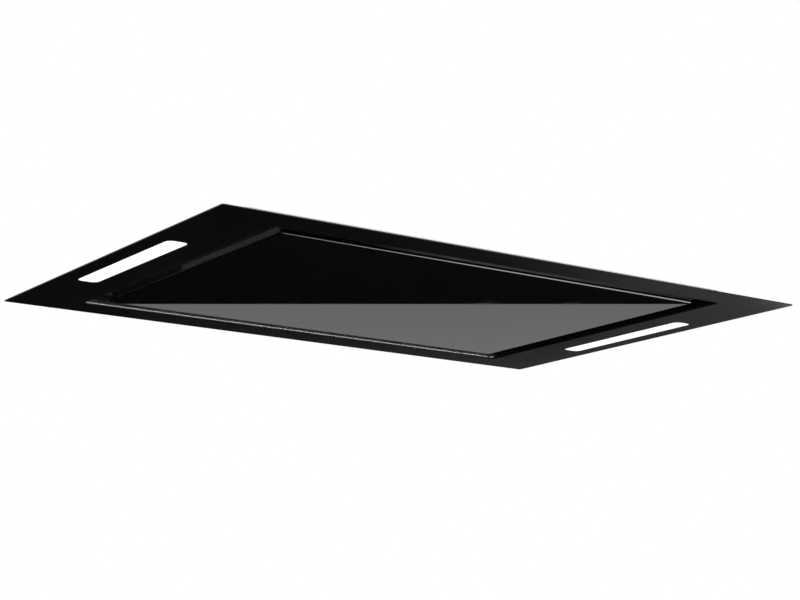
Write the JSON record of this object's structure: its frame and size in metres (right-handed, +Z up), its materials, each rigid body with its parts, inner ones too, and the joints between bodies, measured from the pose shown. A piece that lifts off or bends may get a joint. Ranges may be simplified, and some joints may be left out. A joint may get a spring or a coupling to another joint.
{
  "type": "ceiling range hood",
  "caption": "Flush ceiling range hood with a perimeter slot, black glass swing-down panel, lamps in the frame, filters, blower and duct collar.",
  "frame": {"origin": "middle of the front frame's underside, level with the ceiling's surface", "axes": "+Z up into the ceiling, +X along the hood's long side, -Y towards the side where the panel swings down"},
  "size_m": [0.9, 0.6, 0.31],
  "materials": {
    "frame_black": "satin black powder coat on steel sheet",
    "lamp_diffuser": "opal acrylic, frosted",
    "lamp_aluminium": "clear anodised",
    "lamp_board": "white solder mask",
    "lamp_chip": "phosphor under silicone",
    "zinc_fastener": "bright zinc plate",
    "tray_black": "satin black powder coat on steel sheet",
    "galvanised_sheet": "galvanised sheet with a fine spangle",
    "filter_aluminium": "mill finish, folded",
    "filter_mesh": "layers of expanded aluminium mesh",
    "black_plastic": "moulded, fine grain",
    "spring_steel": "bare spring wire",
    "black_glass": "toughened, back enamelled black, gloss",
    "bonding_tape": "foam tape",
    "carrier_black": "satin black powder coat on steel sheet",
    "hinge_steel": "zinc plate",
    "pin_steel": "ground",
    "magnet_nickel": "nickel plate",
    "black_rubber": "moulded",
    "impeller_plastic": "glass filled nylon",
    "motor_can": "die cast",
    "winding_copper": "varnished copper winding",
    "rotor_iron": "stacked steel sheets",
    "bearing_steel": "ground",
    "bracket_black": "black paint on steel",
    "box_plastic": "light grey moulding",
    "board_green": "green solder mask",
    "terminal_plastic": "white nylon",
    "capacitor_can": "grey shell"
  },
  "bodies": {
    "root": {"bump_stops": "black_rubber", "cable_gland": "black_plastic", "casing_front": "galvanised_sheet", "casing_left": "galvanised_sheet", "casing_rear": "galvanised_sheet", "casing_right": "galvanised_sheet", "casing_top": "galvanised_sheet", "catch_magnets": "magnet_nickel", "circuit_board": "board_green", "control_box": "box_plastic", "control_lid": "box_plastic", "filter_catch": "galvanised_sheet", "filter_frame_left": "filter_aluminium", "filter_frame_right": "filter_aluminium", "filter_mesh_left": "filter_mesh", "filter_mesh_right": "filter_mesh", "filter_plate": "galvanised_sheet", "fixed_hinges": "hinge_steel", "flap_pin": "pin_steel", "frame_nuts": "zinc_fastener", "front_frame": "frame_black", "hanger_brackets": "galvanised_sheet", "hanger_screws": "zinc_fastener", "inlet_rings": "black_plastic", "latch_springs": "spring_steel", "led_boards": "lamp_board", "led_chips": "lamp_chip", "led_driver": "black_plastic", "led_housing_left": "lamp_aluminium", "led_housing_right": "lamp_aluminium", "led_lens_left": "lamp_diffuser", "led_lens_right": "lamp_diffuser", "m4_screws": "zinc_fastener", "magnet_holders": "black_plastic", "motor_bearings": "bearing_steel", "motor_bracket": "bracket_black", "motor_capacitor": "capacitor_can", "motor_housing": "motor_can", "motor_mounts": "black_rubber", "motor_stator": "winding_copper", "outlet_collar": "galvanised_sheet", "scroll_side_left": "galvanised_sheet", "scroll_side_right": "galvanised_sheet", "scroll_wrap": "galvanised_sheet", "suction_tray": "tray_black", "terminal_block": "terminal_plastic"},
    "panel": {"glass_panel": "black_glass", "panel_tape": "bonding_tape", "panel_carrier": "carrier_black", "panel_hinges": "hinge_steel", "hinge_pins": "pin_steel", "strike_plates": "hinge_steel"},
    "fan": {"impeller": "impeller_plastic", "motor_shaft": "pin_steel", "motor_rotor": "rotor_iron"},
    "front_flap": {"flap_front": "black_plastic"},
    "rear_flap": {"flap_rear": "black_plastic"},
    "left_latch": {"filter_latch_left": "black_plastic"},
    "right_latch": {"filter_latch_right": "black_plastic"}
  },
  "joints": [
    {"name": "panel_swing", "type": "hinge", "parent": "root", "child": "panel", "pos_m": [0, 0.2254, 0.0104], "axis": [1, 0, 0], "range_deg": [0, 88]},
    {"name": "fan_spin", "type": "hinge", "parent": "root", "child": "fan", "pos_m": [0, -0.04, 0.15], "axis": [1, 0, 0], "continuous": true},
    {"name": "front_flap_swing", "type": "hinge", "parent": "root", "child": "front_flap", "pos_m": [0, 0, 0.293], "axis": [-1, 0, 0], "range_deg": [0, 75]},
    {"name": "rear_flap_swing", "type": "hinge", "parent": "root", "child": "rear_flap", "pos_m": [0, 0, 0.293], "axis": [1, 0, 0], "range_deg": [0, 75]},
    {"name": "left_latch_slide", "type": "slide", "parent": "root", "child": "left_latch", "axis": [-1, 0, 0], "range_m": [0, 0.007], "stiffness_N_per_m": 300, "springref_m": -0.003},
    {"name": "right_latch_slide", "type": "slide", "parent": "root", "child": "right_latch", "axis": [1, 0, 0], "range_m": [0, 0.007], "stiffness_N_per_m": 300, "springref_m": -0.003, "deforming": ["latch_springs"]}
  ]
}
